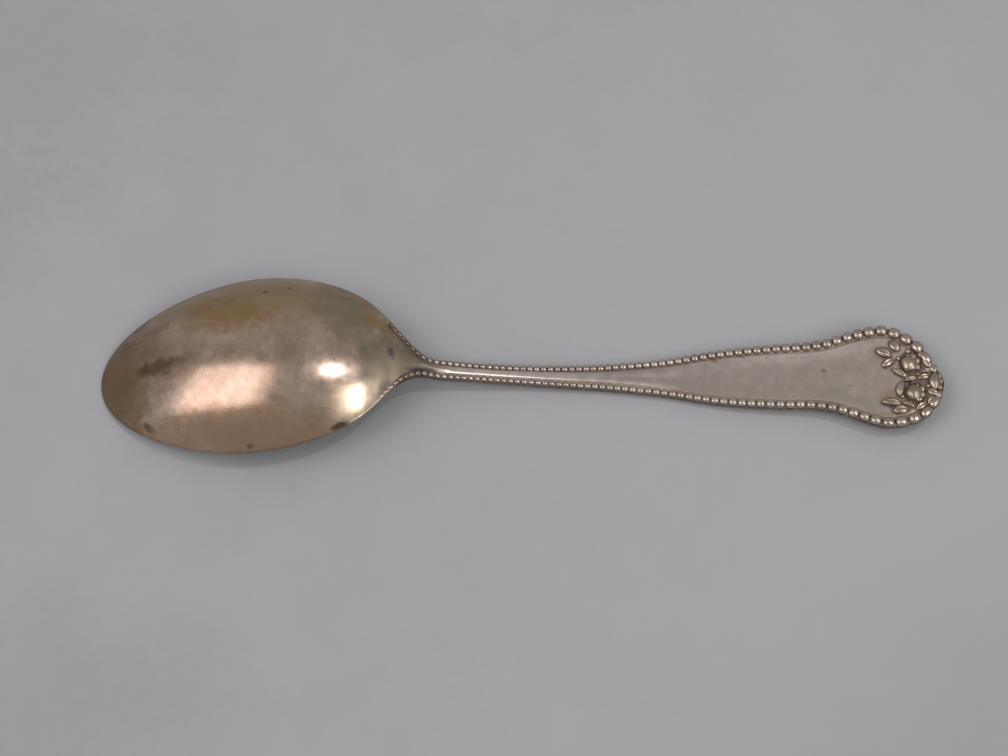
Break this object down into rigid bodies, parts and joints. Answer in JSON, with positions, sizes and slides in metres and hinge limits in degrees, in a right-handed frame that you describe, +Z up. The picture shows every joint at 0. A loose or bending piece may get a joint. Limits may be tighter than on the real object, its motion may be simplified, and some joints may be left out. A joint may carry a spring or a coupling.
{
  "type": "teaspoon",
  "caption": "Silver-coloured teaspoon lying on its front, with beaded borders along the handle and a relief spray of roses and leaves at its end.",
  "frame": {"origin": "middle of the bounding box in plan, at the table that the spoon lies on with its back up", "axes": "+X from the tip of the bowl to the end of the handle, +Y to the left of that direction, +Z up out of the spoon's back"},
  "size_m": [0.15, 0.0338, 0.014],
  "materials": {
    "silver_bowl": "tarnished silver plate, mottled",
    "silver_handle": "worn silver plate, satin",
    "silver_beads": "bright silver plate with dark crevices",
    "silver_ornament": "silver plate with dark deposits in the relief"
  },
  "bodies": {
    "root": {"bowl": "silver_bowl", "heel": "silver_handle", "shank": "silver_handle", "handle_plate": "silver_handle", "back_beads_left": "silver_beads", "back_beads_right": "silver_beads", "front_beads_left": "silver_beads", "front_beads_right": "silver_beads", "back_rose_left": "silver_ornament", "back_rose_right": "silver_ornament", "back_rose_tip": "silver_ornament", "back_leaves": "silver_ornament", "back_buds": "silver_ornament", "front_rose_left": "silver_ornament", "front_rose_right": "silver_ornament", "front_rose_tip": "silver_ornament", "front_leaves": "silver_ornament", "front_buds": "silver_ornament"}
  },
  "joints": []
}
